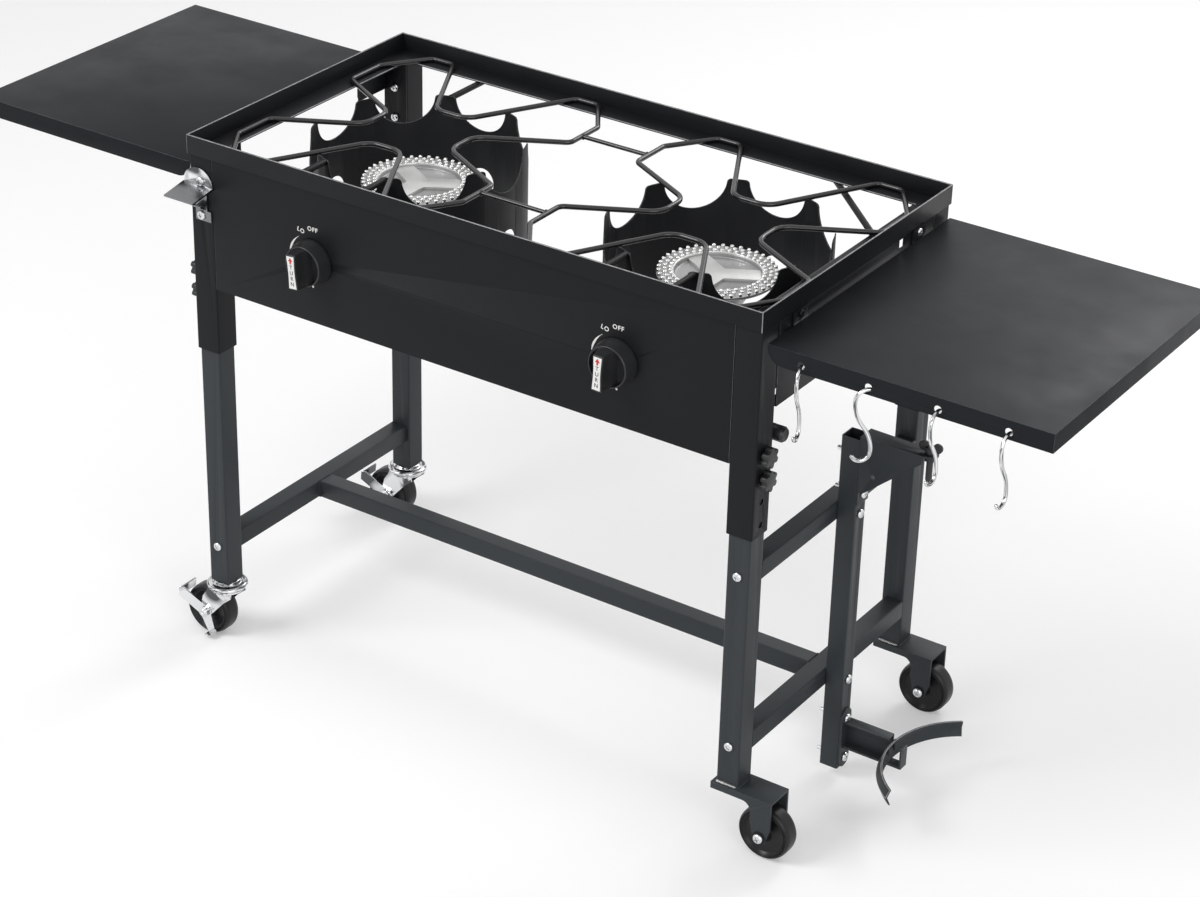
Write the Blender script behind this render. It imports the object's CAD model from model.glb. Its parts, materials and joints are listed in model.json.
# %% [markdown]
# # A two-burner cooking stand, dressed on its CAD frame
# The frame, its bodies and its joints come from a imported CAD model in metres. Every piece made
# here has the model's axes and sizes, so it already sits where it belongs.

# %% Load the frame
import json
import math
import random

import bmesh
import bpy
from mathutils import Matrix, Vector

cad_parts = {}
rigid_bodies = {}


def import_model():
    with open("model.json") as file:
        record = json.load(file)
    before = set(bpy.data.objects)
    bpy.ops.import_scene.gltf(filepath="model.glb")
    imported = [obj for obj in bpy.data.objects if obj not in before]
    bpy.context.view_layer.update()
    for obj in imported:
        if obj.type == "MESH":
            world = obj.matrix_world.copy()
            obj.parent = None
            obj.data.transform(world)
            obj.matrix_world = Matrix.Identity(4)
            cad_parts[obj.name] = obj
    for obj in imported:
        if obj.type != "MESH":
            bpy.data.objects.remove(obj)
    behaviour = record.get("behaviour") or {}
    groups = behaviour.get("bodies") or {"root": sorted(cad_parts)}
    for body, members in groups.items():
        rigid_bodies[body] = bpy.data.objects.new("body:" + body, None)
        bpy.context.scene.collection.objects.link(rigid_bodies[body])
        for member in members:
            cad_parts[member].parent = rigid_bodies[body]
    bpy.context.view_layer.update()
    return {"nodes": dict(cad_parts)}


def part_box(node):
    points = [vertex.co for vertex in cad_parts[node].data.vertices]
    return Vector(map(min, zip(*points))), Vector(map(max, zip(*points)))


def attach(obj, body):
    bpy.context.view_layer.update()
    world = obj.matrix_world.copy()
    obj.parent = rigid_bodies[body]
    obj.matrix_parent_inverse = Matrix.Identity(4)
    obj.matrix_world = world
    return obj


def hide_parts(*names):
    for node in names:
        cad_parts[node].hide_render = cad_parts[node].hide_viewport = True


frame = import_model()

# %% [markdown]
# ## The camera
# The stand is seen from the front right and from above. A long lens keeps the legs nearly
# parallel, as a product picture does. The picture is taken to be 1200 x 897.

# %% Place the camera
VIEW_TURN, VIEW_RISE, VIEW_ROLL = math.radians(33.42), math.radians(28.637), math.radians(1.492)
VIEW_AWAY, VIEW_AT = 3.84, Vector((0.0607, 0.01375, 0.3421))
LENS_MM, SENSOR_MM = 92.33, 36


def loose(data, name="loose"):
    """An object with that data, linked to the scene so that its modifiers run."""
    thing = bpy.data.objects.new(name, data)
    bpy.context.scene.collection.objects.link(thing)
    return thing


camera_data = bpy.data.cameras.new("camera")
camera_data.lens, camera_data.sensor_width = LENS_MM, SENSOR_MM
camera_data.clip_end = 50
camera = loose(camera_data, "camera")
back = Vector((math.sin(VIEW_TURN) * math.cos(VIEW_RISE),
               -math.cos(VIEW_TURN) * math.cos(VIEW_RISE), math.sin(VIEW_RISE)))
right = Vector((math.cos(VIEW_TURN), math.sin(VIEW_TURN), 0))
axes = Matrix((right, back.cross(right), back)).transposed().to_4x4()
camera.matrix_world = (Matrix.Translation(VIEW_AT + back * VIEW_AWAY) @ axes
                       @ Matrix.Rotation(VIEW_ROLL, 4, "Z"))
bpy.context.scene.camera = camera
print("camera at", [round(v, 3) for v in camera.matrix_world.translation])

# %% [markdown]
# ## Finishes
# A finish is a small node tree: a colour that drifts a little, a roughness that smudges, and a
# bump at the size of the real grain. They all read Object coordinates. Every piece sits at the
# origin, so those are metres, and a scale of 900 is a grain of about a millimetre.

# %% Helpers for node trees
def add(tree, kind, sockets=None, **settings):
    """Adds a node, sets its settings and fills or links its input sockets."""
    node = tree.nodes.new(kind)
    for name, value in settings.items():
        setattr(node, name, value)
    for name, value in (sockets or {}).items():
        if isinstance(value, bpy.types.NodeSocket):
            tree.links.new(value, node.inputs[name])
        else:
            node.inputs[name].default_value = value
    return node


def calc(tree, operation, first, second=0.0):
    """A Math node's result."""
    return add(tree, "ShaderNodeMath", {0: first, 1: second}, operation=operation).outputs[0]


def new_material(name):
    """A new material, its node tree and its shader."""
    material = bpy.data.materials.new(name)
    material.use_nodes = True
    return material, material.node_tree, material.node_tree.nodes["Principled BSDF"]


def opaque(colour):
    """A colour given as three numbers, with its alpha."""
    return (*colour, 1)


# %% [markdown]
# One function makes all the hard finishes. `drift` is how far the colour wanders over a hand's
# width, `smudge` how far the roughness does, and `grain` and `bump` are the fine texture that
# catches the light.

# %% A finish for paint, metal and plastic
def finish(name, colour, rough, metal=0.0, drift=0.12, smudge=0.06, grain=1000.0, bump=0.05,
           patch=14.0, gloss=0.5, deep=0.0):
    material, tree, shader = new_material(name)
    where = add(tree, "ShaderNodeTexCoord").outputs["Object"]
    cloud = add(tree, "ShaderNodeTexNoise", {"Vector": where, "Scale": patch, "Detail": 4.0})
    specks = add(tree, "ShaderNodeTexNoise", {"Vector": where, "Scale": grain, "Detail": 2.0})
    both = calc(tree, "ADD", cloud.outputs["Fac"], specks.outputs["Fac"])
    low, high = ([c * (1 + way * drift) for c in colour] for way in (-1, 1))
    ramp = add(tree, "ShaderNodeMapRange", {"Value": both, "From Min": 0.6, "From Max": 1.4})
    mix = add(tree, "ShaderNodeMix", {"Factor": ramp.outputs[0]}, data_type="RGBA")
    mix.inputs["A"].default_value, mix.inputs["B"].default_value = opaque(low), opaque(high)
    tree.links.new(mix.outputs["Result"], shader.inputs["Base Color"])
    spread = add(tree, "ShaderNodeMapRange", {
        "Value": cloud.outputs["Fac"], "From Min": 0.3, "From Max": 0.7,
        "To Min": rough - smudge, "To Max": rough + smudge})
    tree.links.new(spread.outputs[0], shader.inputs["Roughness"])
    height = add(tree, "ShaderNodeBump", {"Height": specks.outputs["Fac"], "Strength": bump,
                                          "Distance": 0.0004})
    if deep:
        waves = add(tree, "ShaderNodeTexNoise", {"Vector": where, "Scale": grain / 6})
        height = add(tree, "ShaderNodeBump", {"Height": waves.outputs["Fac"], "Strength": deep,
                                              "Distance": 0.001, "Normal": height.outputs[0]})
    tree.links.new(height.outputs[0], shader.inputs["Normal"])
    shader.inputs["Metallic"].default_value = metal
    shader.inputs["Specular IOR Level"].default_value = gloss
    return material


panel_black = finish("panel_black", (0.0085, 0.0095, 0.0110), 0.42, bump=0.12, grain=1400.0,
                     gloss=0.14)
frame_slate = finish("frame_slate", (0.035, 0.040, 0.044), 0.44, bump=0.12, grain=1400.0,
                     gloss=0.2)
shelf_black = finish("shelf_black", (0.010, 0.012, 0.0142), 0.46, bump=0.14, grain=1500.0,
                     gloss=0.12)
guard_black = finish("guard_black", (0.010, 0.011, 0.012), 0.5, bump=0.1, grain=900.0, gloss=0.2)
wire_black = finish("wire_black", (0.012, 0.012, 0.013), 0.22, bump=0.06, grain=800.0, deep=0.03,
                    gloss=0.6)
knob_black = finish("knob_black", (0.020, 0.021, 0.022), 0.36, bump=0.1, grain=1600.0, gloss=0.4)
rubber_black = finish("rubber_black", (0.008, 0.008, 0.009), 0.34, bump=0.05, grain=700.0,
                      gloss=0.3)
edge_light = finish("edge_light", (0.27, 0.275, 0.28), 0.36, drift=0.5, smudge=0.1, grain=300.0,
                    patch=60.0)
cast_grey = finish("cast_grey", (0.40, 0.40, 0.40), 0.44, metal=0.9, drift=0.15, smudge=0.1,
                   grain=900.0, bump=0.25, patch=30.0, deep=0.12)
cast_bright = finish("cast_bright", (0.86, 0.86, 0.85), 0.27, metal=1.0, drift=0.08,
                     grain=900.0, bump=0.12, patch=40.0)
cast_satin = finish("cast_satin", (0.66, 0.66, 0.65), 0.48, metal=0.9, drift=0.1, grain=900.0,
                    bump=0.2, patch=40.0)
zinc_plate = finish("zinc_plate", (0.70, 0.71, 0.72), 0.26, metal=1.0, grain=1800.0)
raw_weld = finish("raw_weld", (0.42, 0.42, 0.41), 0.42, metal=0.8, drift=0.3, grain=1500.0,
                  bump=0.3, patch=120.0)
pressed_steel = finish("pressed_steel", (0.21, 0.215, 0.22), 0.24, metal=1.0, drift=0.15,
                       grain=1200.0, patch=60.0, bump=0.08)
print(len(bpy.data.materials), "finishes")

# %% [markdown]
# ## Bright chrome
# Chrome has hardly a colour of its own. What makes it read as chrome is the strong contrast
# between the light and dark things round it, so its dark streaks follow the way the surface
# faces: a noise is read at the surface's own normal, and a ramp keeps only its dips.

# %% Chrome with dark streaks
def chrome(name, bright, dark, rough, streak):
    material, tree, shader = new_material(name)
    coords = add(tree, "ShaderNodeTexCoord").outputs
    nearby = add(tree, "ShaderNodeVectorMath", {0: coords["Object"]}, operation="SCALE")
    nearby.inputs["Scale"].default_value = 9.0
    where = add(tree, "ShaderNodeVectorMath", {0: coords["Normal"], 1: nearby.outputs[0]},
                operation="ADD")
    bands = add(tree, "ShaderNodeTexNoise", {"Vector": where.outputs[0], "Scale": streak,
                                             "Detail": 1.5})
    ramp = add(tree, "ShaderNodeValToRGB", {"Fac": bands.outputs["Fac"]})
    ramp.color_ramp.elements[0].position, ramp.color_ramp.elements[1].position = 0.40, 0.52
    ramp.color_ramp.elements[0].color = opaque(dark)
    ramp.color_ramp.elements[1].color = opaque(bright)
    tree.links.new(ramp.outputs["Color"], shader.inputs["Base Color"])
    shader.inputs["Metallic"].default_value = 1.0
    shader.inputs["Roughness"].default_value = rough
    specks = add(tree, "ShaderNodeTexNoise", {"Vector": coords["Object"], "Scale": 500.0})
    height = add(tree, "ShaderNodeBump", {"Height": specks.outputs["Fac"], "Strength": 0.03,
                                          "Distance": 0.0004})
    tree.links.new(height.outputs[0], shader.inputs["Normal"])
    return material


chrome_plate = chrome("chrome_plate", (0.80, 0.81, 0.82), (0.10, 0.105, 0.11), 0.17, 2.2)
print("chrome ready")

# %% [markdown]
# ## Sheet and tube with real edges
# Bent sheet and tube have no knife edges: each fold has a small radius that draws a thin bright
# line. The CAD nodes carry the true sizes, so each one is copied, its loose triangles are merged
# and its flat faces joined, and a Bevel modifier rounds the outer edges. Paint is thin there, so
# the rounded strip can take a lighter finish of its own.

# %% Helpers for pieces
def as_piece(name, mesh, material, body, *nodes, slot=None, sharp=35, rim=None):
    """Makes a piece of a mesh: finish, shading, the body it rides on and what it stands for.

    A mesh with a rim already has its two finishes, and keeps them."""
    if not rim:
        mesh.materials.clear()
        mesh.materials.append(material)
    mesh.shade_smooth()
    mesh.set_sharp_from_angle(angle=math.radians(sharp))
    piece = loose(mesh, name)
    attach(piece, body)
    if nodes:
        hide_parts(*nodes)
    return piece


def baked(source, name):
    """The evaluated shape of an object as a plain mesh; the object itself is removed."""
    source_mesh = source.data
    shape = source.evaluated_get(bpy.context.evaluated_depsgraph_get())
    mesh = bpy.data.meshes.new_from_object(shape)
    bpy.data.objects.remove(source)
    if source_mesh.users == 0:
        bpy.data.batch_remove([source_mesh])
    mesh.name = name
    return mesh


# %% Soften the edges of a CAD node
SAME_PLACE, SAME_PLANE = 2e-6, math.radians(0.6)
FOLD = math.radians(38)     # a smaller turn is part of a curve, not an edge
DOWN = -0.3                 # where two faces' normals add up to less along Z, they face down


def merged_copy(node):
    """A node's triangles merged into one skin; outer edges that don't face down are marked."""
    mesh = frame["nodes"][node].data.copy()
    work = bmesh.new()
    work.from_mesh(mesh)
    bmesh.ops.remove_doubles(work, verts=work.verts, dist=SAME_PLACE)
    bmesh.ops.dissolve_limit(work, angle_limit=SAME_PLANE, verts=work.verts, edges=work.edges)
    marks = work.edges.layers.float.new("bevel_weight_edge")
    for edge in work.edges:
        if edge.is_manifold and edge.is_convex and edge.calc_face_angle() > FOLD:
            facing = sum((face.normal for face in edge.link_faces), Vector())
            edge[marks] = 1.0 if facing.z > DOWN else 0.0
    work.to_mesh(mesh)
    work.free()
    return mesh


def soften(node, body, material, edge=0.0005, slot="frame_paint", rings=2, rim=None):
    """Stands for a CAD node with the same shape, its sharp edges rounded by edge metres."""
    thing = loose(merged_copy(node))
    bevel = thing.modifiers.new("edge", "BEVEL")
    bevel.width, bevel.segments, bevel.limit_method = edge, rings, "WEIGHT"
    bevel.use_clamp_overlap = True
    if rim:
        thing.data.materials.clear()
        thing.data.materials.append(material)
        thing.data.materials.append(rim)
        bevel.material = 1
    return as_piece(node + "_dressed", baked(thing, node), material, body, node, slot=slot,
                    rim=rim)


CORNERS = ["fl", "fr", "rl", "rr"]
TUBE_EDGE, SHELF_EDGE, THIN_EDGE = 0.0008, 0.0006, 0.0004
for corner in CORNERS:
    soften("lower_leg_" + corner, "base", frame_slate, edge=TUBE_EDGE, rim=edge_light)
    soften("upper_leg_" + corner, "top", panel_black, edge=TUBE_EDGE, rim=edge_light)
for node in ["side_rails", "stretcher", "tank_post", "tank_bracket", "cradle_arm",
             "cradle_strap", "wheel_brackets"]:
    soften(node, "base", frame_slate, edge=TUBE_EDGE, rim=edge_light)
for node in ["top_rim", "front_panel", "side_panels"]:
    soften(node, "top", panel_black, edge=TUBE_EDGE, slot="panel_paint", rim=edge_light)
for node in ["corner_gussets", "shelf_brackets"]:
    soften(node, "top", panel_black)
for side in ["left", "right"]:
    soften("shelf_" + side, "shelf_" + side, shelf_black, edge=SHELF_EDGE, slot="panel_paint",
           rim=edge_light)
    soften("guard_" + side, "top", guard_black, edge=THIN_EDGE, slot="guard_paint",
           rim=edge_light)

# %% [markdown]
# ## Helpers for Geometry Nodes
# What repeats, or follows a path, is made by a node tree. Its sizes are named inputs, and the
# result is turned into a plain mesh before it becomes a piece of the stand.

# %% Build a tree, run it and take its mesh
def new_tree(name, **inputs):
    """A geometry tree with named inputs: (socket type, value). Returns the tree and its inputs."""
    tree = bpy.data.node_groups.new(name, "GeometryNodeTree")
    tree.interface.new_socket("Shape", in_out="INPUT", socket_type="NodeSocketGeometry")
    for label, (kind, value) in inputs.items():
        socket = tree.interface.new_socket(label, in_out="INPUT", socket_type="NodeSocket" + kind)
        if value is not None:
            socket.default_value = value
    tree.interface.new_socket("Shape", in_out="OUTPUT", socket_type="NodeSocketGeometry")
    return tree, add(tree, "NodeGroupInput").outputs


def end_tree(tree, geometry, given):
    """Ends a tree in Realize Instances and Set Material."""
    real = add(tree, "GeometryNodeRealizeInstances", {"Geometry": geometry})
    painted = add(tree, "GeometryNodeSetMaterial", {"Geometry": real.outputs[0],
                                                    "Material": given["Material"]})
    add(tree, "NodeGroupOutput", {"Shape": painted.outputs[0]})


def grown(tree, name, mesh, **values):
    """Runs a tree on a mesh with the given inputs and returns the plain mesh that it makes."""
    thing = loose(mesh)
    modifier = thing.modifiers.new("tree", "NODES")
    modifier.node_group = tree
    for item in tree.interface.items_tree:
        if item.in_out == "INPUT" and item.name in values:
            modifier[item.identifier] = values[item.name]
    bpy.context.view_layer.update()
    return baked(thing, name)


def attribute(tree, kind, name):
    """What each point says under that name."""
    return add(tree, "GeometryNodeInputNamedAttribute", {"Name": name},
               data_type=kind).outputs["Attribute"]


# %% [markdown]
# ## Places shared with the CAD model
# Several pieces stand on the same few lines: the legs, the axles, the burners' centres and the
# front panel. They are written once, in metres, and in millimetres where a list of numbers
# reads better. The model's plan is shifted along Y, so that its box has its middle at the origin.

# %% Lines and helpers for places
PLAN_Y = 0.01425
LEG_X, LEG_Y, PANEL_Y = 391.5, 195, -0.2125             # the legs' lines are in millimetres
BURNER_X, KNOB_Z = 0.22, 0.6
WHEEL_R, FIXED_X, CASTER_X = 0.035, 0.442, -0.4175


def mm(points):
    """Millimetres to metres."""
    return [tuple(v / 1000 for v in point) for point in points]


def lying(x, y, z, turn=90):
    """A place whose own Z lies flat, pointing to the front, or to the rear at turn -90."""
    return Matrix.Translation((x, y, z)) @ Matrix.Rotation(math.radians(turn), 4, "X")


def end_mesh(work, name, place=Matrix.Identity(4)):
    """Ends a closed bmesh: its faces are turned outwards and it is put in place."""
    bmesh.ops.recalc_face_normals(work, faces=work.faces)
    bmesh.ops.transform(work, matrix=place, verts=work.verts)
    mesh = bpy.data.meshes.new(name)
    work.to_mesh(mesh)
    work.free()
    return mesh


def plate(name, outline, place, thick=0.00012):
    """A flat shape with the given outline, drawn in X and Y, made thick and put in place."""
    work = bmesh.new()
    face = work.faces.new([work.verts.new((x, y, 0)) for x, y in outline])
    raised = bmesh.ops.extrude_face_region(work, geom=[face])
    top = [v for v in raised["geom"] if isinstance(v, bmesh.types.BMVert)]
    bmesh.ops.translate(work, verts=top, vec=(0, 0, thick))
    return end_mesh(work, name, place)


print("legs at", LEG_X, LEG_Y, "mm; wheels of", WHEEL_R * 2, "m")

# %% [markdown]
# ## Round wire
# Wire bends have a radius of their own, and one tree serves them all: the path is a mesh of
# straight edges with a `bend` number at each corner. Fillet Curve rounds the corners, and Curve
# to Mesh sweeps a circle along the result. Balls close the ends of an open wire.

# %% The tree that sweeps a wire
wire_tree, given = new_tree("bent_wire", Diameter=("Float", 0.008), Sides=("Int", 20),
                            Steps=("Int", 8), Balls=("Bool", False), Material=("Material", None))
line = add(wire_tree, "GeometryNodeMeshToCurve", {"Mesh": given["Shape"]})
bent = add(wire_tree, "GeometryNodeFilletCurve", {
    "Curve": line.outputs[0], "Count": given["Steps"],
    "Radius": attribute(wire_tree, "FLOAT", "bend")}, mode="POLY")
half = calc(wire_tree, "MULTIPLY", given["Diameter"], 0.5)
ring = add(wire_tree, "GeometryNodeCurvePrimitiveCircle", {"Resolution": given["Sides"],
                                                           "Radius": half})
tube = add(wire_tree, "GeometryNodeCurveToMesh", {
    "Curve": bent.outputs[0], "Profile Curve": ring.outputs[0], "Fill Caps": True})
ends = add(wire_tree, "GeometryNodeCurveEndpointSelection")
ball = add(wire_tree, "GeometryNodeMeshUVSphere", {"Segments": 20, "Rings": 10, "Radius": half})
tips = add(wire_tree, "GeometryNodeInstanceOnPoints", {
    "Points": bent.outputs[0], "Selection": ends.outputs[0], "Instance": ball.outputs[0]})
caps = add(wire_tree, "GeometryNodeSwitch", {"Switch": given["Balls"], "True": tips.outputs[0]},
           input_type="GEOMETRY")
joined = add(wire_tree, "GeometryNodeJoinGeometry")
for part in (tube, caps):
    wire_tree.links.new(part.outputs[0], joined.inputs[0])
end_tree(wire_tree, joined.outputs[0], given)


def path(corners, closed=False, at=(0, 0, 0)):
    """Straight edges through (x, y, z, bend) corners."""
    mesh = bpy.data.meshes.new("path")
    count = len(corners)
    edges = [(i, (i + 1) % count) for i in range(count if closed else count - 1)]
    mesh.from_pydata([Vector(c[:3]) + Vector(at) for c in corners], edges, [])
    bends = mesh.attributes.new("bend", "FLOAT", "POINT")
    bends.data.foreach_set("value", [float(c[3]) for c in corners])
    return mesh


def joined_mesh(name, meshes):
    """Several meshes as one."""
    work = bmesh.new()
    for mesh in meshes:
        work.from_mesh(mesh)
        bpy.data.meshes.remove(mesh)
    result = bpy.data.meshes.new(name)
    work.to_mesh(result)
    work.free()
    return result


# %% [markdown]
# ## The grate
# The grate is what a cook looks at: two loops of 6.5 mm wire, each with four fingers that narrow
# towards the flame and end in wide bends. Half a loop is twelve corners, and the other half is
# the same turned round. Two short links join the loops, each end held by a bead of weld.

# %% Bend the two loops
WIRE_D, WIRE_Z, LINK_D = 0.0065, 0.69855, 0.0055
LOOP_X, LOOP_Y, TIP_R, TIP_W = 0.171, 0.203, 0.066, 0.024
SIDE_ROOT, END_ROOT, CUT_X, CUT_Y = 0.082, 0.097, 0.041, 0.061
TIP_BEND, ROOT_BEND, LINK_Y = 0.026, 0.011, 0.107
half_loop = [(LOOP_X, -SIDE_ROOT, ROOT_BEND), (TIP_R, -TIP_W, TIP_BEND), (TIP_R, TIP_W, TIP_BEND),
             (LOOP_X, SIDE_ROOT, ROOT_BEND), (LOOP_X, LOOP_Y - CUT_Y, ROOT_BEND),
             (LOOP_X - CUT_X, LOOP_Y, ROOT_BEND), (END_ROOT, LOOP_Y, ROOT_BEND),
             (TIP_W, TIP_R, TIP_BEND), (-TIP_W, TIP_R, TIP_BEND), (-END_ROOT, LOOP_Y, ROOT_BEND),
             (CUT_X - LOOP_X, LOOP_Y, ROOT_BEND), (-LOOP_X, LOOP_Y - CUT_Y, ROOT_BEND)]
whole_loop = [(x, y, 0, b) for x, y, b in half_loop] + [(-x, -y, 0, b) for x, y, b in half_loop]
wires = [grown(wire_tree, "loop", path(whole_loop, True, (s * BURNER_X, PLAN_Y, WIRE_Z)),
               Diameter=WIRE_D, Sides=24, Steps=12, Material=wire_black) for s in (-1, 1)]
link = BURNER_X - LOOP_X
wires += [grown(wire_tree, "link", path([(-link, s * LINK_Y + PLAN_Y, WIRE_Z, 0),
                                         (link, s * LINK_Y + PLAN_Y, WIRE_Z, 0)]),
                Diameter=LINK_D, Sides=24, Material=wire_black) for s in (-1, 1)]
print("grate wires", len(wires))

# %% [markdown]
# ## Weld beads
# A weld is a row of small overlapping lumps. The tree walks along a path, drops a flattened
# ball about every millimetre and gives each a turn and a size of its own from a fixed seed.

# %% The tree that lays a bead
bead_tree, given = new_tree("weld_bead", Width=("Float", 0.004), Step=("Float", 0.0016),
                            Flat=("Float", 0.7), Seed=("Int", 3), Material=("Material", None))
line = add(bead_tree, "GeometryNodeMeshToCurve", {"Mesh": given["Shape"]})
walk = add(bead_tree, "GeometryNodeResampleCurve", {"Curve": line.outputs[0],
                                                    "Length": given["Step"]}, mode="LENGTH")
lump = add(bead_tree, "GeometryNodeMeshIcoSphere", {
    "Radius": calc(bead_tree, "MULTIPLY", given["Width"], 0.5), "Subdivisions": 2})
sizes = add(bead_tree, "FunctionNodeRandomValue", {"Seed": given["Seed"]},
            data_type="FLOAT")
sizes.inputs[2].default_value, sizes.inputs[3].default_value = 0.8, 1.12
turns = add(bead_tree, "FunctionNodeRandomValue", {"Seed": given["Seed"]},
            data_type="FLOAT_VECTOR")
turns.inputs[0].default_value, turns.inputs[1].default_value = (-0.4, -0.4, -3.0), (0.4, 0.4, 3.0)
drops = add(bead_tree, "GeometryNodeInstanceOnPoints", {
    "Points": walk.outputs[0], "Instance": lump.outputs[0], "Rotation": turns.outputs[0]})
tree_scale = add(bead_tree, "ShaderNodeCombineXYZ", {
    "X": sizes.outputs[1], "Y": sizes.outputs[1],
    "Z": calc(bead_tree, "MULTIPLY", sizes.outputs[1], given["Flat"])})
bead_tree.links.new(tree_scale.outputs[0], drops.inputs["Scale"])
end_tree(bead_tree, drops.outputs[0], given)


def bead(points, width, seed, material=raw_weld, closed=False, step=0.4, flat=0.7):
    """A bead of the given width; step is the lumps' spacing as a share of that width."""
    return grown(bead_tree, "bead", path([(*p, 0) for p in points], closed), Width=width,
                 Step=width * step, Seed=seed, Flat=flat, Material=material)


# Each link's end sits on a loop's outer wire; the bead lies round the joint
BEAD_IN, BEAD_R, BEAD_W = 0.0026, 0.0031, 0.0022
beads = []
for number, (sx, sy) in enumerate([(-1, -1), (-1, 1), (1, -1), (1, 1)]):
    x, y = sx * (link - BEAD_IN), sy * LINK_Y + PLAN_Y
    around = [(x, y + BEAD_R * math.cos(a), WIRE_Z + BEAD_R * math.sin(a))
              for a in [i * math.pi / 5 for i in range(10)]]
    beads.append(bead(around, BEAD_W, number, wire_black, closed=True, flat=1.0))
as_piece("grate_wire", joined_mesh("grate_wire", wires + beads), wire_black, "grate", "grate",
         slot="wire_paint", sharp=60)

# %% [markdown]
# ## The hooks
# Four S-hooks of thin chromed wire hang in the right shelf's front lip. An S is four arcs that
# meet without a corner, so their points are computed and swept by the same tree.

# %% Bend the four hooks
HOOK_D, TOP_R, LOW_R, S_H, S_STEP = 0.0045, 0.014, 0.011, 0.062, 0.021
HOOK_Z, HOOK_Y, HOOK_X0, HOOK_PITCH = 0.66155, -0.2074, 0.456, 0.0845
HOOK_TURNS, TOP_TURN, LOW_TURN = [14, -42, 0, 0], 140, 155      # in degrees


def arc_points(cx, cy, r, start, turn, steps):
    """Points along an arc, its angles in degrees."""
    return [(cx + r * math.cos(math.radians(start + turn * i / steps)),
             cy + r * math.sin(math.radians(start + turn * i / steps))) for i in range(steps + 1)]


s_r = (S_H * S_H / 4 + S_STEP * S_STEP / 4) / S_STEP
s_turn = math.degrees(2 * math.atan(S_STEP / S_H))
s_x = TOP_R - S_STEP
flat_hook = (arc_points(0, 0, TOP_R, TOP_TURN, -TOP_TURN, 18)
             + arc_points(TOP_R - s_r, 0, s_r, 0, -s_turn, 8)[1:]
             + arc_points(s_x + s_r, -S_H, s_r, 180 - s_turn, s_turn, 8)[1:]
             + arc_points(s_x + LOW_R, -S_H, LOW_R, 180, LOW_TURN, 20)[1:])
for k, hook_turn in enumerate(HOOK_TURNS):
    twist = Matrix.Rotation(math.radians(hook_turn), 4, "Z")
    spot = Vector((HOOK_X0 + k * HOOK_PITCH, HOOK_Y + PLAN_Y, HOOK_Z))
    bend_line = [twist @ Vector((0, -u, v - TOP_R)) + spot for u, v in flat_hook]
    mesh = grown(wire_tree, "hook", path([(*p, 0) for p in bend_line]), Diameter=HOOK_D, Sides=20,
                 Balls=True, Material=chrome_plate)
    as_piece(f"hook_{k + 1}_wire", mesh, chrome_plate, f"hook_{k + 1}", f"hook_{k + 1}",
             slot="chrome", sharp=60)
print("hooks hang", round(S_H + TOP_R + LOW_R + HOOK_D, 4), "m")

# %% [markdown]
# ## The burners
# Each burner is one casting with a bright skin: a bowl turned on a centre, a rim with three
# staggered rows of flame nozzles, a smooth lip, and a dished middle crossed by three wide webs.
# Turning a profile makes the bowl, and a node tree sets the nozzles, because their places follow
# a rule: nozzle k of row r stands at the angle (k + r/2) times the pitch. The casting becomes
# three pieces, because its dull bowl, satin webs and bright crown catch the light differently.

# %% Turn a profile about an axis
SHARE = 0.45        # the most of a side that the rounding of one corner may take


def eased(points, radius, steps=4, closed=False):
    """A flat line with its corners rounded to about the radius, or to a point's third number."""
    result = []
    count = len(points)
    for i, point in enumerate(points):
        here = Vector(point[:2])
        if not closed and i in (0, count - 1):
            result.append(here)
            continue
        before, after = Vector(points[i - 1][:2]), Vector(points[(i + 1) % count][:2])
        reach = min(point[2] if len(point) > 2 else radius, (before - here).length * SHARE,
                    (after - here).length * SHARE)
        start = here + (before - here).normalized() * reach
        end = here + (after - here).normalized() * reach
        for k in range(steps + 1):
            t = k / steps
            result.append(start * (1 - t) ** 2 + here * 2 * t * (1 - t) + end * t * t)
    return result


def turned(name, profile, steps, place=Matrix.Identity(4)):
    """A closed solid of revolution about Z from (radius, height) points, then put in place."""
    work = bmesh.new()
    rings = []
    for r, z in profile:
        if r < 1e-7:
            rings.append([work.verts.new((0, 0, z))])
        else:
            rings.append([work.verts.new((r * math.cos(2 * math.pi * k / steps),
                                          r * math.sin(2 * math.pi * k / steps), z))
                          for k in range(steps)])
    pairs = list(zip(rings, rings[1:]))
    if len(rings[0]) > 1 and len(rings[-1]) > 1:
        pairs.append((rings[-1], rings[0]))
    for low, high in pairs:
        for k in range(steps):
            corners = [low[k % len(low)], low[(k + 1) % len(low)],
                       high[(k + 1) % len(high)], high[k % len(high)]]
            unique = [v for i, v in enumerate(corners) if v not in corners[:i]]
            if len(unique) > 2:
                work.faces.new(unique)
    return end_mesh(work, name, place)


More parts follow.
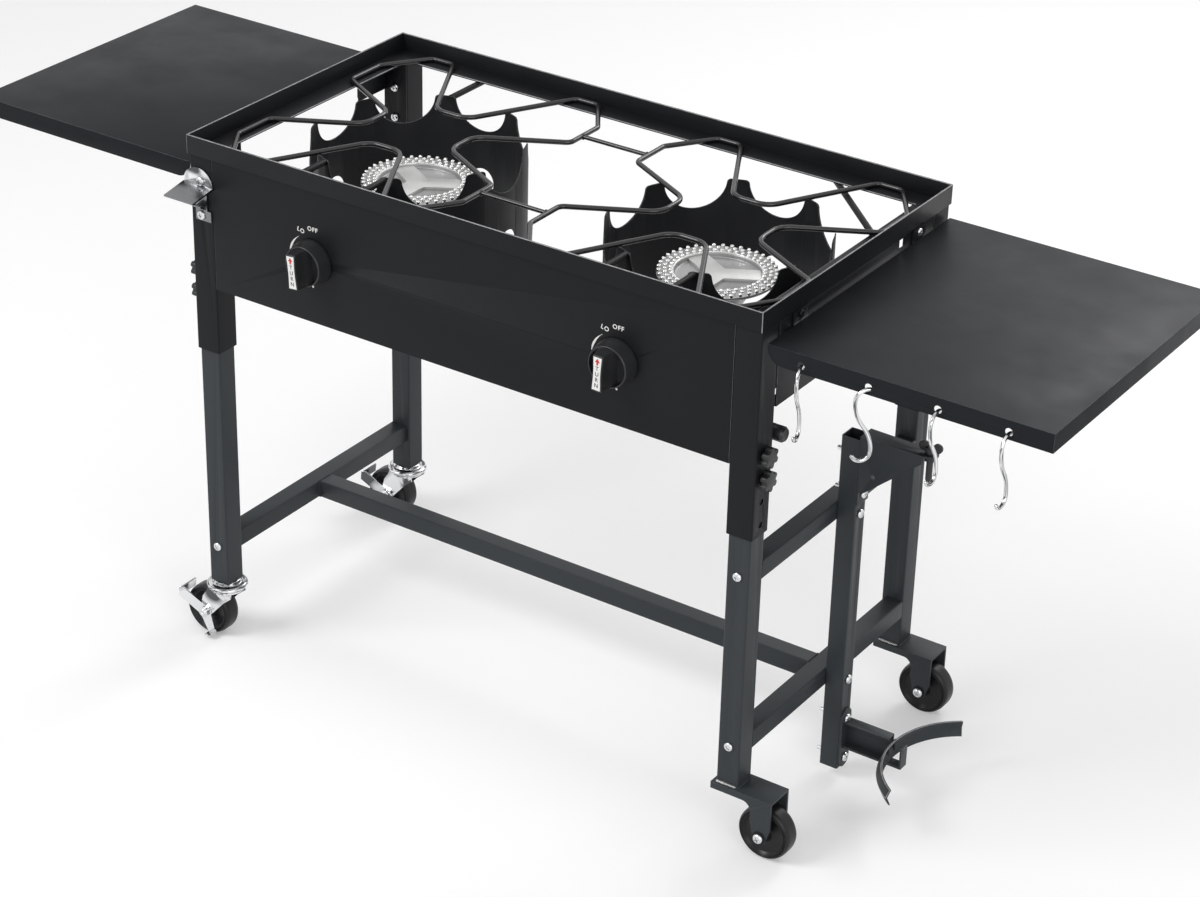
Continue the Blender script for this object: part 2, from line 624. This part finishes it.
# %% The nozzle tree
stud_tree, given = new_tree("nozzle_rows", Stud=("Object", None), Nozzles=("Int", 40),
                            Rows=("Int", 3), First=("Float", 0.056), Pitch=("Float", 0.007),
                            Height=("Float", 0.631), Material=("Material", None))
index = add(stud_tree, "GeometryNodeInputIndex").outputs[0]
row = calc(stud_tree, "FLOOR", calc(stud_tree, "DIVIDE", calc(stud_tree, "ADD", index, 0.01),
                                    given["Nozzles"]))
step = calc(stud_tree, "ADD", index, calc(stud_tree, "MULTIPLY", row, 0.5))
angle = calc(stud_tree, "DIVIDE", calc(stud_tree, "MULTIPLY", step, 2 * math.pi),
             given["Nozzles"])
reach = calc(stud_tree, "ADD", calc(stud_tree, "MULTIPLY", row, given["Pitch"]), given["First"])
stand_at = add(stud_tree, "ShaderNodeCombineXYZ", {
    "X": calc(stud_tree, "MULTIPLY", reach, calc(stud_tree, "COSINE", angle)),
    "Y": calc(stud_tree, "MULTIPLY", reach, calc(stud_tree, "SINE", angle)),
    "Z": given["Height"]})
cloud = add(stud_tree, "GeometryNodePoints", {
    "Count": calc(stud_tree, "MULTIPLY", given["Nozzles"], given["Rows"]),
    "Position": stand_at.outputs[0]})
stud = add(stud_tree, "GeometryNodeObjectInfo", {"Object": given["Stud"]})
stood = add(stud_tree, "GeometryNodeInstanceOnPoints", {
    "Points": cloud.outputs[0], "Instance": stud.outputs["Geometry"]})
end_tree(stud_tree, stood.outputs[0], given)

# %% Cast the two burners
nozzle = loose(turned("nozzle", eased(mm([
    (0, 1.0), (1.2, 1.0), (1.4, 3.5), (2.1, 3.7), (2.65, 3.0), (2.8, 0), (0, 0)]), 0.0003, 2),
    14), "nozzle")
bowl = eased(mm([(0, 581), (21, 581), (29, 589), (40, 608), (50, 617), (71.5, 627), (73, 629),
                 (73, 631), (71.5, 631.5), (54, 631.5), (52, 631), (51, 626), (0, 626)]), 0.001)
lip = eased(mm([(52.2, 629), (54.2, 629), (54.0, 632.7), (52.5, 632.7)]), 0.0005, 3, closed=True)
throat = eased(mm([(0, 160), (11, 160), (9, 31), (16, 6), (16, 0), (19, 0), (19, 5), (12, 30),
                   (15, 143), (15, 173.5), (0, 173.5)]), 0.001, 3)
foot = eased(mm([(0, 556), (10, 556), (10, 582), (0, 582)]), 0.001, 2)
WEB_TURN, WEB_REACH, WEB_HALF = 30, 52.2, 13.5
WEB_LOW, WEB_THICK, WEB_EDGE = 0.6255, 0.0042, 0.0006
THROAT_END = 0.1735


def web_mesh(name):
    """The three webs, which meet in the middle, as one plate with crisp edges."""
    one = [(WEB_REACH, -WEB_HALF), (WEB_REACH, WEB_HALF),
           (WEB_HALF / math.tan(math.pi / 3), WEB_HALF)]
    outline = [Matrix.Rotation(math.radians(120 * k + WEB_TURN), 2) @ Vector(p)
               for k in range(3) for p in one]
    thing = loose(plate(name, mm(outline), Matrix.Translation((0, 0, WEB_LOW)), WEB_THICK))
    bevel = thing.modifiers.new("edge", "BEVEL")
    bevel.width, bevel.segments, bevel.limit_method = WEB_EDGE, 2, "ANGLE"
    return baked(thing, name)


for side, s in (("left", -1), ("right", 1)):
    centre = Matrix.Translation((s * BURNER_X, PLAN_Y, 0))
    along = lying(0, -THROAT_END, KNOB_Z, -90)
    casting = joined_mesh("burner_" + side, [
        turned("bowl", bowl, 96), turned("throat", throat, 48, along), turned("foot", foot, 32)])
    webs = web_mesh("webs")
    crown = joined_mesh("crown_" + side, [
        turned("lip", lip, 96),
        grown(stud_tree, "nozzles", bpy.data.meshes.new("start"), Stud=nozzle,
              Material=cast_bright)])
    for mesh in (casting, webs, crown):
        mesh.transform(centre)
    as_piece(f"burner_{side}_casting", casting, cast_grey, "top", "burner_" + side,
             slot="cast_aluminium", sharp=50)
    as_piece(f"burner_{side}_webs", webs, cast_satin, "top", slot="cast_aluminium")
    as_piece(f"burner_{side}_crown", crown, cast_bright, "top", slot="cast_aluminium", sharp=50)
    print("burner", side, len(casting.polygons) + len(crown.polygons), "faces")
bpy.data.objects.remove(nozzle)

# %% [markdown]
# ## Screws, bolts and nuts
# Thirty-odd fasteners share two small shapes: a pan head with a cross recess, and a round shank.
# Each is modelled once at unit size. The tree reads where a fastener sits, which way it faces
# and how big it is from attributes of its point, so a whole group is one list of numbers. The
# heads are plated, but one screw under the right shelf was painted with the frame.

# %% Unit head and shank
def cross_head():
    """Pan head of unit diameter and unit height with a tapered cross recess."""
    dome = loose(turned("dome", eased([(0, 1), (0.2, 0.98), (0.36, 0.86), (0.46, 0.6), (0.5, 0.25),
                                       (0.47, 0), (0, 0)], 0.05, 2), 28), "dome")
    work = bmesh.new()
    for turn in (0, math.pi / 2):
        low = [(x * 0.2, y * 0.04, 0.35) for x, y in ((-1, -1), (1, -1), (1, 1), (-1, 1))]
        high = [(x * 0.27, y * 0.062, 1.2) for x, y in ((-1, -1), (1, -1), (1, 1), (-1, 1))]
        verts = [work.verts.new(Matrix.Rotation(turn, 3, "Z") @ Vector(p)) for p in low + high]
        for face in ((3, 2, 1, 0), (4, 5, 6, 7), (0, 1, 5, 4), (1, 2, 6, 5), (2, 3, 7, 6),
                     (3, 0, 4, 7)):
            work.faces.new([verts[i] for i in face])
    cross = loose(end_mesh(work, "cross"), "cross")
    cut = dome.modifiers.new("cut", "BOOLEAN")
    cut.object, cut.operation, cut.solver, cut.use_self = cross, "DIFFERENCE", "EXACT", True
    head = loose(baked(dome, "head"), "head")
    bpy.data.objects.remove(cross)
    return head


head = cross_head()
shank = loose(turned("shank", [(0, -1), (0.42, -1), (0.5, -0.97), (0.5, 0.05), (0, 0.05)], 20),
              "shank")

# %% The fastener tree
screw_tree, given = new_tree("fasteners", Head=("Object", None), Shank=("Object", None),
                             Material=("Material", None))
facing = attribute(screw_tree, "FLOAT_VECTOR", "facing")
turn = attribute(screw_tree, "FLOAT", "turn")
aim = add(screw_tree, "FunctionNodeAlignRotationToVector", {"Vector": facing}, axis="Z")
spin = add(screw_tree, "FunctionNodeAxisAngleToRotation", {"Axis": (0, 0, 1), "Angle": turn})
spun = add(screw_tree, "FunctionNodeRotateRotation", {
    "Rotation": aim.outputs[0], "Rotate By": spin.outputs[0]}, rotation_space="LOCAL")
groups = add(screw_tree, "GeometryNodeJoinGeometry")
for label, across, along in (("Head", "head_d", "head_h"), ("Shank", "shank_d", "shank_l")):
    shape = add(screw_tree, "GeometryNodeObjectInfo", {"Object": given[label]})
    width = attribute(screw_tree, "FLOAT", across)
    grow = add(screw_tree, "ShaderNodeCombineXYZ", {
        "X": width, "Y": width, "Z": attribute(screw_tree, "FLOAT", along)})
    put = add(screw_tree, "GeometryNodeInstanceOnPoints", {
        "Points": given["Shape"], "Instance": shape.outputs["Geometry"],
        "Rotation": spun.outputs[0], "Scale": grow.outputs[0]})
    screw_tree.links.new(put.outputs[0], groups.inputs[0])
end_tree(screw_tree, groups.outputs[0], given)


def fasteners(name, rows, seed):
    """rows: (place, facing, head diameter, head height, shank diameter, shank length) in mm."""
    chance = random.Random(seed)
    mesh = bpy.data.meshes.new("spots")
    mesh.from_pydata([Vector(row[0]) / 1000 + Vector((0, PLAN_Y, 0)) for row in rows], [], [])
    facings = mesh.attributes.new("facing", "FLOAT_VECTOR", "POINT")
    facings.data.foreach_set("vector", [float(v) for row in rows for v in row[1]])
    numbers = {"turn": [chance.uniform(0, math.pi / 2) for _ in rows]}
    for column, label in enumerate(("head_d", "head_h", "shank_d", "shank_l"), 2):
        numbers[label] = [row[column] / 1000 for row in rows]
    for label, values in numbers.items():
        mesh.attributes.new(label, "FLOAT", "POINT").data.foreach_set("value", values)
    return grown(screw_tree, name, mesh, Head=head, Shank=shank, Material=zinc_plate)


# %% Bolts of the lower frame
PAN, SMALL_PAN = (12, 4, 6), (10, 3, 6)             # head's diameter and height, shank's diameter
RAIL_LOW, RAIL_HIGH, HOLDER_BOLTS = 142, 375, (454, 403, 86, 29)        # heights of the bolts
LEG_HEAD_Y, POST_HEAD_X, HOLDER_HEAD_X = 210, 431.5, 434                # where the heads sit
rows = []
for sy in (-1, 1):
    rows += [((x, sy * LEG_HEAD_Y, z), (0, sy, 0), *PAN, 44)
             for x, z in ((-LEG_X, RAIL_LOW), (LEG_X, RAIL_LOW), (LEG_X, RAIL_HIGH))]
rows += [((POST_HEAD_X, 0, z), (1, 0, 0), *PAN, 53) for z in (RAIL_LOW, RAIL_HIGH)]
rows += [((HOLDER_HEAD_X, 0, z), (1, 0, 0), *PAN, 37.5) for z in HOLDER_BOLTS]
as_piece("frame_bolts_cross", fasteners("frame_bolts", rows, 11), zinc_plate, "base",
         "frame_bolts", slot="zinc", sharp=40)
print(len(rows), "frame bolts")

# %% Screws of the top
GUSSET_Y, GUSSET_BOLTS, GUARD_Z = 174.5, (658, 616), 553
PIN_X, PIN_Y, PIN_Z = 430, 147.5, 666               # the shelves' pivot pins
BRACKET_X, BRACKET_Y, BRACKET_Z = 411.5, 135, 686   # the screws of the shelves' brackets
OPENER_Y, OPENER_SCREWS = -214.5, (660, 615)
rows, dark = [], []
for sx in (-1, 1):
    for sy in (-1, 1):
        rows += [((sx * LEG_X, sy * GUSSET_Y, z), (0, -sy, 0), *PAN, 14) for z in GUSSET_BOLTS]
        rows.append(((sx * PIN_X, sy * PIN_Y, PIN_Z), (0, -sy, 0), *SMALL_PAN, 12))
        (dark if (sx, sy) == (1, -1) else rows).append(
            ((sx * BRACKET_X, sy * BRACKET_Y, BRACKET_Z), (sx, 0, 0), *SMALL_PAN, 12))
    rows.append(((sx * BURNER_X * 1000, 0, GUARD_Z), (0, 0, -1), *PAN, 14))
rows += [((-LEG_X, OPENER_Y, z), (0, -1, 0), 12, 3.4, 6, 10) for z in OPENER_SCREWS]
as_piece("top_screws_cross", fasteners("top_screws", rows, 12), zinc_plate, "top", "top_screws",
         slot="zinc", sharp=40)
as_piece("top_screw_painted", fasteners("top_screw", dark, 14), panel_black, "top",
         slot="zinc", sharp=40)
print(len(rows) + len(dark), "screws in the top")

# %% Axle bolts and their nuts
washer = eased(mm([(4.1, 0), (8.5, 0), (8.5, 1.1), (4.1, 1.1)]), 0.0003, 2, closed=True)
nut = eased(mm([(4, 0), (6.9, 0), (7.5, 0.8), (7.5, 5.7), (6.9, 6.5), (4, 6.5)]), 0.0, 1)
HEAD_OUT, WASHER_OUT, NUT_OUT = -21.7, -20.55, 20.5      # along Y from the leg's line
rows, nuts, washers = [], [], []
for sy in (-1, 1):
    rows.append(((FIXED_X * 1000, sy * LEG_Y + HEAD_OUT, WHEEL_R * 1000), (0, -1, 0), 13, 4.6, 8,
                 48))
    washers.append(turned("washer", washer, 40, lying(
        FIXED_X, (sy * LEG_Y + WASHER_OUT) / 1000 + PLAN_Y, WHEEL_R)))
    nuts.append(turned("nut", nut, 6, lying(
        FIXED_X, (sy * LEG_Y + NUT_OUT) / 1000 + PLAN_Y, WHEEL_R, -90)))
as_piece("axle_bolts_cross", joined_mesh("axle_bolts", [fasteners("axle_bolts", rows, 13)] + nuts),
         zinc_plate, "base", "axle_bolts", slot="zinc", sharp=40)
as_piece("axle_washers", joined_mesh("washers", washers), guard_black, "base", slot="zinc",
         sharp=40)
for thing in (head, shank):
    bpy.data.objects.remove(thing)
print("axle bolts", len(rows))

# %% [markdown]
# ## Knobs and their printing
# Each knob is a black moulding: a deep skirt, a dish in its face and a grip across the dish whose
# flanks are hollowed for the fingers. The grip is a stack of outlines from the dish to its front
# face, each drawn in at the waist. A white strip with a red arrow and the letters TURN is set in
# the front face, and a white dot marks the skirt. The panel carries plain printing: an arc for
# the flame, LO and OFF.

# %% Plain finishes for printing
print_white = finish("print_white", (0.80, 0.80, 0.78), 0.5, drift=0.04, grain=2500.0)
print_red = finish("print_red", (0.55, 0.03, 0.025), 0.5, drift=0.06, grain=2500.0)
print_ink = finish("print_ink", (0.03, 0.03, 0.03), 0.5, drift=0.06, grain=2500.0)
KNOB_R, SKIRT, REACH, FLOOR = 29, 20.5, 40, 13      # in mm, the last three out from the panel
WAIST, STRIP_HALF, LETTER_H, LETTER_STEP, WORD_H = 0.78, 20.8, 0.0052, 0.0072, 0.0056
KNOB_LEAN = {"left": 5.0, "right": -2.0}     # how far each knob is pressed on askew, in degrees
FLAME_R, FLAME_START, FLAME_TURN, FLAME_W = 0.0345, 124, 50, 0.0026
LO_X, LO_Z, LO_LEAN, OFF_X, OFF_Z = -0.0170, 0.0365, -14, 0.0010, 0.0420


def words(text, height, place, heavy=0.0002):
    """A word as a thin mesh with heavy strokes, its middle at the origin of its place."""
    curve = bpy.data.curves.new(text, "FONT")
    curve.body, curve.size, curve.extrude, curve.offset = text, height * 1.4, 0.00006, heavy
    curve.align_x, curve.align_y, curve.space_character = "CENTER", "CENTER", 1.2
    mesh = baked(loose(curve), text)
    mesh.transform(place)
    return mesh


def on_panel(x, z, lift=0.00002):
    """Place on the front panel: X to the right, Y up, Z out of the panel."""
    return lying(x, PANEL_Y + PLAN_Y - lift, z)


def flame_arc(r, start, turn, wide, place):
    """An arc that swells from a point to its full width and ends in a point again."""
    steps = 24
    inner, outer = [], []
    for i in range(steps + 1):
        a = math.radians(start + turn * i / steps)
        half = wide / 2 * math.sin(math.pi * (i / steps) ** 1.5) + 0.0001
        inner.append(((r - half) * math.cos(a), (r - half) * math.sin(a)))
        outer.append(((r + half) * math.cos(a), (r + half) * math.sin(a)))
    return plate("arc", inner + outer[::-1], place)


# %% Mould the knobs
def grip_mesh(place):
    """The knob's grip: outlines from the dish's floor to the front face, hollowed at the waist."""
    levels = [(FLOOR - 2, 12.5, 23.8), (FLOOR + 3, 10.0, 23.8), (22, 7.8, 23.6), (29, 6.9, 23.2),
              (35, 7.0, 22.8), (38.6, 7.2, 22.5), (39.7, 6.8, 22.1), (REACH, 6.2, 21.5)]
    work = bmesh.new()
    rings = []
    for out, half_w, half_h in levels:
        waist = half_w * WAIST
        flat = eased([(half_w, -half_h), (waist, 0, 12.0), (half_w, half_h), (-half_w, half_h),
                      (-waist, 0, 12.0), (-half_w, -half_h)], 1.6, closed=True)
        rings.append([work.verts.new((p.x / 1000, p.y / 1000, out / 1000)) for p in flat])
    for low, high in zip(rings, rings[1:]):
        for i in range(len(low)):
            j = (i + 1) % len(low)
            work.faces.new((low[i], low[j], high[j], high[i]))
    work.faces.new(rings[0])
    work.faces.new(rings[-1])
    return end_mesh(work, "grip", place)


skirt = eased(mm([(0, 0.4), (KNOB_R, 0.4), (KNOB_R, 3), (KNOB_R - 3, SKIRT - 1),
                  (KNOB_R - 3.8, SKIRT), (KNOB_R - 5, SKIRT), (KNOB_R - 6, FLOOR), (0, FLOOR)]),
              0.0008)
stem = mm([(0, -15.5), (4, -15.5), (4, 2), (0, 2)])
for side, s in (("left", -1), ("right", 1)):
    x = s * BURNER_X
    knob = "knob_" + side
    here = on_panel(x, KNOB_Z, 0) @ Matrix.Rotation(math.radians(KNOB_LEAN[side]), 4, "Z")
    moulding = [turned("skirt", skirt, 96, here), turned("stem", stem, 32, here), grip_mesh(here)]
    as_piece(knob + "_moulding", joined_mesh(knob, moulding), knob_black, knob, knob,
             slot="black_plastic", sharp=50)
    face = here @ Matrix.Translation((0, 0, REACH / 1000))
    strip = plate("strip", mm(eased([
        (5.6, -STRIP_HALF), (4.4, 0, 12.0), (5.6, STRIP_HALF), (-5.6, STRIP_HALF),
        (-4.4, 0, 12.0), (-5.6, -STRIP_HALF)], 0.4, closed=True)), face)
    dot = turned("dot", [(0, 0), (0.0014, 0), (0.0012, 0.0002), (0, 0.0002)], 20,
                 here @ Matrix.Translation((0.0150, -0.0223, SKIRT / 1000)))
    arrow = plate("arrow", mm([(-1.3, 11), (1.3, 11), (1.3, 14.5), (3.4, 14.5), (0, 19.5),
                               (-3.4, 14.5), (-1.3, 14.5)]), face, 0.0002)
    letters = [words(letter, LETTER_H, face @ Matrix.Translation(
        (0, 0.0065 - LETTER_STEP * i, 0.00014)), 0.0001) for i, letter in enumerate("TURN")]
    for label, meshes, ink in (("strip", [strip, dot], print_white), ("arrow", [arrow], print_red),
                               ("letters", letters, print_ink)):
        as_piece(f"knob_{label}_{side}", joined_mesh(label, meshes), ink, knob,
                 slot="black_plastic")
    marks = [flame_arc(FLAME_R, FLAME_START, FLAME_TURN, FLAME_W, on_panel(x, KNOB_Z)),
             words("LO", WORD_H, on_panel(x + LO_X, KNOB_Z + LO_Z)
                   @ Matrix.Rotation(math.radians(LO_LEAN), 4, "Z")),
             words("OFF", WORD_H, on_panel(x + OFF_X, KNOB_Z + OFF_Z))]
    as_piece("print_" + side, joined_mesh("print_" + side, marks), print_white, "top",
             slot="panel_paint")
print("knobs and printing on", len(marks) * 2, "places")

# %% [markdown]
# ## Casters and wheels
# The casters are pressed steel with bright chrome: a race with a rolled rim under the leg, a
# fork that swivels in it, and a lever. The wheels are hard rubber. Three fine ridges run round
# each side of a wheel, near its tread, so the wheel is turned from one profile.

# %% Turn the races and wheels
race = eased(mm([(0, 76), (24, 76), (27, 79), (27, 82), (24.5, 84), (19.5, 84.4), (17, 88),
                 (0, 88)]), 0.0012)
plug = eased(mm([(0, 87.5), (12.8, 87.5), (12.8, 115), (8, 120), (0, 120)]), 0.0006, 3)
races = []
for s in (-1, 1):
    under_leg = Matrix.Translation((-LEG_X / 1000, s * LEG_Y / 1000 + PLAN_Y, 0))
    races += [turned("race", race, 64, under_leg), turned("plug", plug, 32, under_leg)]
as_piece("caster_race_cups", joined_mesh("races", races), chrome_plate, "base", "caster_races",
         slot="chrome", sharp=50)


BORE_R, RIDGE_R, RIDGE_STEP, FIXED_HUB, CASTER_HUB = 4.05, 28, 1.7, 34.4, 26.4


def wheel_mesh(hub, x, y):
    """A wheel of the given hub width in millimetres, its axis along Y."""
    side = [(BORE_R, hub / 2), (9, hub / 2), (11, 8.2), (25.6, 8.2), (27.2, 10.4)]
    for k in range(3):
        r = RIDGE_R + RIDGE_STEP * k
        side += [(r, 11.0), (r + 0.5, 11.9), (r + 1.0, 11.9), (r + 1.3, 11.0)]
    side += [(34.2, 9.8), (35, 6)]
    profile = eased(mm(side + [(r, -z) for r, z in side[::-1]]), 0.0006, 2, closed=True)
    profile = [(max(r, BORE_R / 1000), z) for r, z in profile]
    return turned("wheel", profile, 96, lying(x, y, WHEEL_R))


axle_end = eased(mm([(0, 0), (7.2, 0), (7.2, 0.9), (5.2, 1.0), (4.6, 2.2), (2.2, 2.5), (1.6, 1.7),
                     (0, 1.7)]), 0.0003, 2)
DOME_IN = 0.0025        # from the fork's outermost face to the foot of its axle's domed end
for end, s in (("front", -1), ("rear", 1)):
    y = s * LEG_Y / 1000 + PLAN_Y
    for node, hub, x in ((f"wheel_{end}", FIXED_HUB, FIXED_X),
                         (f"caster_wheel_{end}", CASTER_HUB, CASTER_X)):
        as_piece(node + "_tyre", wheel_mesh(hub, x, y), rubber_black, node, node,
                 slot="wheel_rubber", sharp=50)
    fork = f"caster_fork_{end}"
    soften(fork, fork, chrome_plate, slot="chrome")
    soften(f"brake_lever_{end}", f"brake_lever_{end}", chrome_plate, edge=THIN_EDGE,
           slot="chrome")
    axle_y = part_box(fork)[0][1] + DOME_IN
    as_piece(f"caster_axle_{end}", turned("axle", axle_end, 40, lying(CASTER_X, axle_y, WHEEL_R)),
             zinc_plate, fork, slot="chrome", sharp=50)
print("four wheels")

# %% [markdown]
# ## Small fittings
# The opener is a pressing of dull steel with bright edges and a bright tab, its neck painted
# with the leg. The star knobs and the wing screw are plastic mouldings, and the valves, the pipe
# and the capped inlet carry the gas behind the front panel.

# %% Dress the small fittings
brass_bare = finish("brass_bare", (0.62, 0.46, 0.2), 0.34, metal=1.0, grain=900.0)
opener = soften("bottle_opener", "top", pressed_steel, edge=0.0007, slot="chrome", rings=3,
                rim=chrome_plate)
opener.data.materials.append(panel_black)
tab_low, neck_low, neck_high, neck_y = 0.655, 0.6225, 0.6515, PANEL_Y + PLAN_Y - 0.0022
for face in opener.data.polygons:
    _, y, z = face.center
    if z > tab_low and face.normal.y < -0.7:
        face.material_index = 1
    elif neck_low < z < neck_high and y > neck_y:
        face.material_index = 2
soften("wing_screw", "wing_screw", knob_black, edge=0.0009, slot="black_plastic", rings=3)
soften("inlet_cap", "inlet_cap", knob_black, edge=0.0006, slot="black_plastic")
soften("gas_valves", "top", brass_bare, slot="brass")
soften("gas_inlet", "top", brass_bare, edge=THIN_EDGE, slot="brass")
soften("gas_pipe", "top", frame_slate, edge=THIN_EDGE)
soften("guard_rods", "top", guard_black, edge=THIN_EDGE, slot="guard_paint")
for corner in CORNERS:
    for row in ("upper", "lower"):
        name = f"star_{corner}_{row}"
        soften(name, name, knob_black, edge=0.0012, slot="black_plastic", rings=3)

# %% [markdown]
# ## Welds of the frame
# Beads hold the right legs on the wheel brackets, the stretcher on the rails, and the strap on
# its arm. All are painted but a short one at the front of each wheel bracket, left bare.

# %% Lay the frame's beads
def square_round(half):
    """A flat square of the given half width with cut corners."""
    end = half - half * 0.12
    return [(half, -end), (half, end), (end, half), (-end, half),
            (-half, end), (-half, -end), (-end, -half), (end, -half)]


FOOT_Z, RAIL_X, STRAP_X, STRAP_Z = 0.0884, 0.3812, 0.4985, (0.058, 0.076)
ROUND_LEG, ROUND_RAIL = 0.0151, 0.0126      # half the tube's width and a hair
welds, skins = [], []
for s in (-1, 1):
    leg_y = s * LEG_Y / 1000 + PLAN_Y
    skins.append(bead([(LEG_X / 1000 + a, leg_y + b, FOOT_Z) for a, b in square_round(ROUND_LEG)],
                      0.0032, 5 + s, closed=True))
    y = leg_y - 0.0156
    welds.append(bead([(0.3790, y, 0.0886), (0.3905, y - 0.0006, 0.0890), (0.4020, y, 0.0886)],
                      0.0048, 15 + s, step=0.3))
    skins.append(bead([(s * RAIL_X, PLAN_Y + a, RAIL_LOW / 1000 + b)
                       for a, b in square_round(ROUND_RAIL)], 0.0026, 8 + s, closed=True))
    y = PLAN_Y + s * 0.0075
    skins.append(bead([(STRAP_X, y, z) for z in STRAP_Z], 0.0026, 11 + s))
as_piece("frame_welds_bare", joined_mesh("welds_bare", welds), raw_weld, "base",
         slot="frame_paint", sharp=60)
as_piece("frame_welds_painted", joined_mesh("welds_painted", skins), frame_slate, "base",
         slot="frame_paint", sharp=60)
print("welds", len(welds) + len(skins))

# %% [markdown]
# ## The studio
# A pale floor takes the soft shadow. The background is white to the camera and to reflections
# through Light Path, so the lamps stay at a plain level.

# %% Floor, world and lamps
floor_pale, tree, shader = new_material("floor_pale")
shader.inputs["Base Color"].default_value = (0.8, 0.8, 0.8, 1)
shader.inputs["Roughness"].default_value = 0.9
seen = add(tree, "ShaderNodeLightPath")
glow = add(tree, "ShaderNodeEmission", {"Strength": calc(tree, "MULTIPLY", calc(
    tree, "MAXIMUM", seen.outputs["Is Camera Ray"], seen.outputs["Is Glossy Ray"]), 0.22)})
both = add(tree, "ShaderNodeAddShader", {0: shader.outputs[0], 1: glow.outputs[0]})
tree.links.new(both.outputs[0], tree.nodes["Material Output"].inputs["Surface"])
bpy.ops.mesh.primitive_plane_add(size=40)
floor = bpy.context.object
floor.name = "floor"
floor.data.materials.append(floor_pale)

world = bpy.data.worlds.new("studio")
bpy.context.scene.world = world
world.use_nodes = True
tree = world.node_tree
seen = add(tree, "ShaderNodeLightPath")
direct = calc(tree, "MAXIMUM", calc(tree, "MAXIMUM", seen.outputs["Is Camera Ray"],
                                    seen.outputs["Is Glossy Ray"]),
              seen.outputs["Is Transmission Ray"])
sky = tree.nodes["Background"]
sky.inputs["Color"].default_value = (1, 1, 1, 1)
strength = add(tree, "ShaderNodeMapRange", {"Value": direct, "To Min": 0.55, "To Max": 1.0})
tree.links.new(strength.outputs[0], sky.inputs["Strength"])


def lamp(name, place, target, size, power):
    """A round lamp of the given size and power, aimed at a target."""
    data = bpy.data.lights.new(name, "AREA")
    data.shape, data.size, data.energy = "DISK", size, power
    thing = loose(data, name)
    aim = (Vector(target) - Vector(place)).to_track_quat("-Z", "Y")
    thing.matrix_world = Matrix.Translation(place) @ aim.to_matrix().to_4x4()


lamp("key", (-1.6, -2.2, 3.0), (0, 0, 0.4), 1.8, 60)
lamp("fill", (2.6, -2.0, 1.6), (0, 0, 0.4), 2.2, 26)
lamp("back", (0.4, 2.8, 2.4), (0, 0, 0.5), 1.6, 34)
bpy.context.scene.view_settings.view_transform = "Standard"
print("lamps set")
